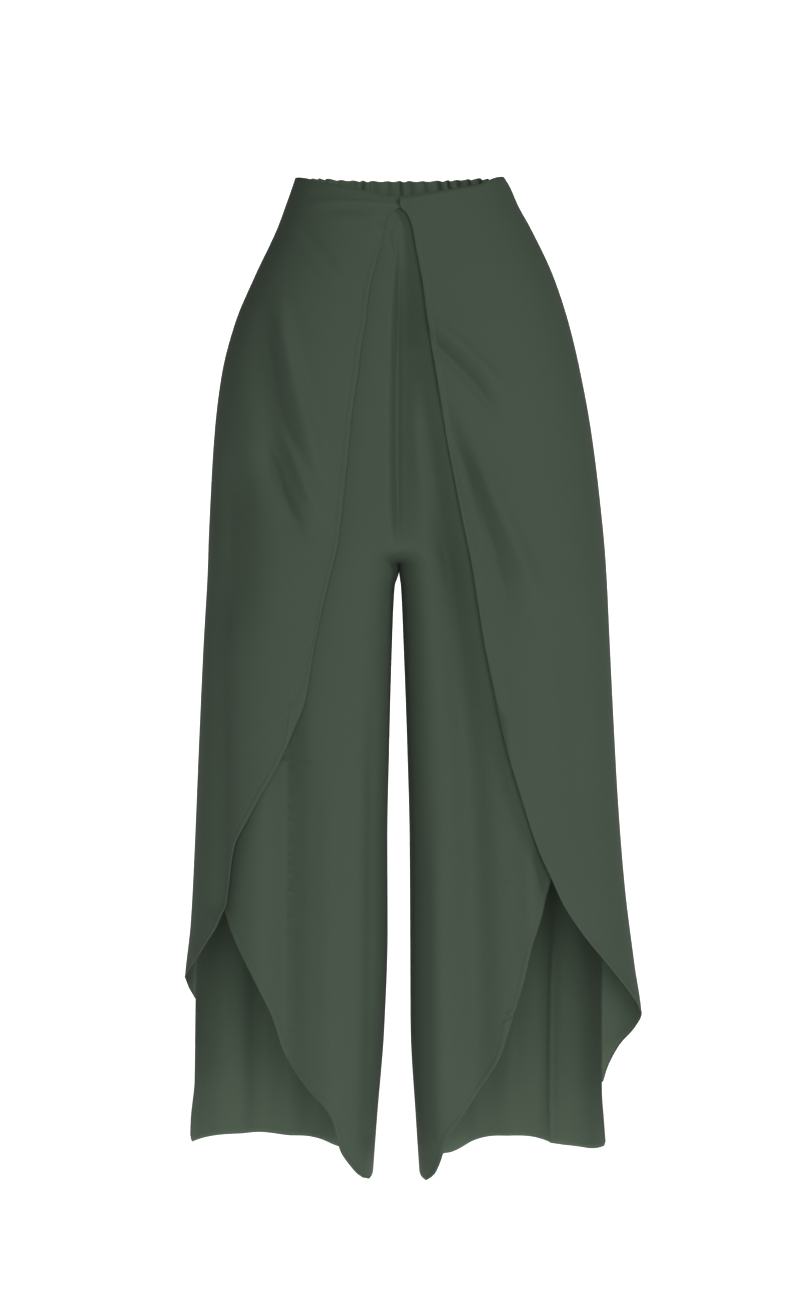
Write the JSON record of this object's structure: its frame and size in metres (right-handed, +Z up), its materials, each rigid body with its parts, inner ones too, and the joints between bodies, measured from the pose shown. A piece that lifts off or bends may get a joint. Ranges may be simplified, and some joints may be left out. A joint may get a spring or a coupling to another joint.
{
  "type": "wide-leg wrap trousers",
  "caption": "Wide-leg trousers, hollow as worn, with petal-shaped overlays wrapped across the front and an elasticated back waist.",
  "frame": {"origin": "middle of the waist, at half the height of the elastic casing", "axes": "+Z up, the front faces -Y, the wearer's left leg is at +X"},
  "size_m": [0.4928, 0.2691, 1.091],
  "materials": {
    "cloth": "matt dark green crepe"
  },
  "bodies": {
    "root": {"front_panel_left": "cloth", "overlay_left": "cloth", "back_panel_left": "cloth", "front_panel_right": "cloth", "overlay_right": "cloth", "back_panel_right": "cloth", "back_waist_casing": "cloth"}
  },
  "joints": []
}
